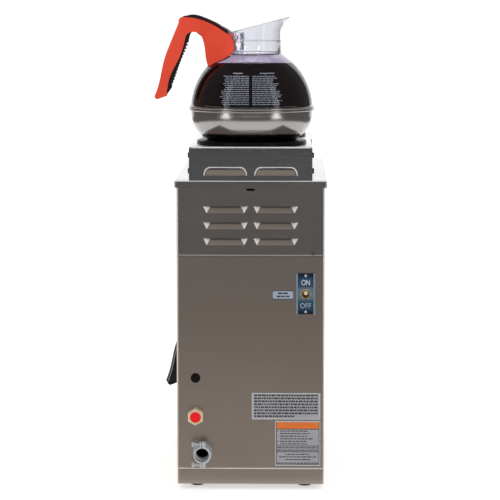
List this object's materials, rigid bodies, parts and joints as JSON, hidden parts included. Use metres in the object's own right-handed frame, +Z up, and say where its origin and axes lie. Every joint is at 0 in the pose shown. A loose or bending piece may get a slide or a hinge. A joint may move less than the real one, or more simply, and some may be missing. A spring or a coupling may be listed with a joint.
{
  "type": "coffee brewer",
  "caption": "Single-width automatic coffee brewer with upper and lower warmers, a slide-out brew funnel and lift-off decanters.",
  "frame": {"origin": "middle of the bounding box at the counter, under the feet", "axes": "+Z up, -Y towards the brewer's front where the funnel draws out, +X towards the decanter handles"},
  "size_m": [0.2555, 0.5273, 0.6994],
  "materials": {
    "stainless": "brushed",
    "polished_steel": "polished",
    "zinc": "die cast",
    "fastener_steel": "plated",
    "brass": "machined",
    "warmer_enamel": "gloss black enamel",
    "black_rubber": "matt",
    "black_plastic": "satin",
    "orange_plastic": "satin",
    "red_plastic": "satin",
    "dome_plastic": "clear moulded",
    "coffee": "liquid",
    "label_vinyl": "printed vinyl",
    "switch_label": "printed vinyl",
    "toggle_plate": "metallic blue",
    "lamp": "translucent",
    "silicone": "translucent white",
    "copper": "drawn tube",
    "circuit_board": "coated",
    "funnel_wire": "bright wire"
  },
  "bodies": {
    "housing": {"base_shell": "stainless", "base_plate": "stainless", "feet": "black_rubber", "foot_screws": "fastener_steel", "trunk_shell": "stainless", "rear_panel": "stainless", "hood_shell": "stainless", "head_floor": "stainless", "front_fascia": "stainless", "top_cover": "stainless", "warmer_box": "stainless", "upper_rear_warmer": "warmer_enamel", "upper_front_warmer": "warmer_enamel", "lower_warmer": "warmer_enamel", "warmer_elements": "warmer_enamel", "toggle_plate": "toggle_plate", "toggle_body": "black_plastic", "toggle_nut": "brass", "switch_label": "switch_label", "notice_label": "label_vinyl", "band_label": "label_vinyl", "hole_plug": "black_plastic", "inlet_fitting": "brass", "cable_clamp": "zinc", "clamp_saddle": "zinc", "clamp_screws": "fastener_steel", "housing_screws": "fastener_steel", "funnel_rails": "stainless", "spray_head": "polished_steel", "switch_frames": "black_plastic", "ready_lamp": "lamp", "tank": "stainless", "tank_lid": "stainless", "tank_heater": "zinc", "thermostat_probe": "zinc", "spray_tube": "silicone", "inlet_valve": "brass", "inlet_tube": "copper", "control_board": "circuit_board"},
    "main_switch_lever": {"toggle_lever": "fastener_steel"},
    "water_inlet_cap": {"inlet_cap": "red_plastic"},
    "start_button": {"start_rocker": "black_plastic"},
    "rear_warmer_switch": {"rear_warmer_rocker": "black_plastic"},
    "front_warmer_switch": {"front_warmer_rocker": "black_plastic"},
    "lower_warmer_switch": {"lower_warmer_rocker": "black_plastic"},
    "brew_funnel": {"funnel": "black_plastic", "funnel_handle": "black_plastic", "funnel_rack": "funnel_wire"},
    "upper_decanter": {"rear_decanter_bowl": "polished_steel", "rear_decanter_dome": "dome_plastic", "rear_decanter_handle_core": "black_plastic", "rear_decanter_handle_cheeks": "orange_plastic", "rear_decanter_coffee": "coffee"},
    "lower_decanter": {"lower_decanter_bowl": "polished_steel", "lower_decanter_dome": "dome_plastic", "lower_decanter_handle_core": "black_plastic", "lower_decanter_handle_cheeks": "black_plastic"}
  },
  "joints": [
    {"name": "upper_decanter_lift", "type": "slide", "parent": "housing", "child": "upper_decanter", "axis": [0, 0, 1], "range_m": [0, 0.15]},
    {"name": "lower_decanter_draw", "type": "slide", "parent": "housing", "child": "lower_decanter", "axis": [0, -1, 0], "range_m": [0, 0.2]},
    {"name": "brew_funnel_draw", "type": "slide", "parent": "housing", "child": "brew_funnel", "axis": [0, -1, 0], "range_m": [0, 0.17]},
    {"name": "main_switch_throw", "type": "hinge", "parent": "housing", "child": "main_switch_lever", "pos_m": [-0.0971, 0.2424, 0.2927], "axis": [1, 0, 0], "range_deg": [-24, 0]},
    {"name": "inlet_cap_pull", "type": "slide", "parent": "housing", "child": "water_inlet_cap", "axis": [0, 1, 0], "range_m": [0, 0.03]},
    {"name": "start_button_press", "type": "hinge", "parent": "housing", "child": "start_button", "pos_m": [-0.0705, -0.195, 0.402], "axis": [1, 0, 0], "range_deg": [0, 8], "stiffness_Nm_per_rad": 0.05},
    {"name": "rear_warmer_switch_throw", "type": "hinge", "parent": "housing", "child": "rear_warmer_switch", "pos_m": [-0.0345, -0.195, 0.402], "axis": [1, 0, 0], "range_deg": [-16, 0]},
    {"name": "front_warmer_switch_throw", "type": "hinge", "parent": "housing", "child": "front_warmer_switch", "pos_m": [0.0015, -0.195, 0.402], "axis": [1, 0, 0], "range_deg": [-16, 0]},
    {"name": "lower_warmer_switch_throw", "type": "hinge", "parent": "housing", "child": "lower_warmer_switch", "pos_m": [0.0375, -0.195, 0.402], "axis": [1, 0, 0], "range_deg": [-16, 0]}
  ]
}
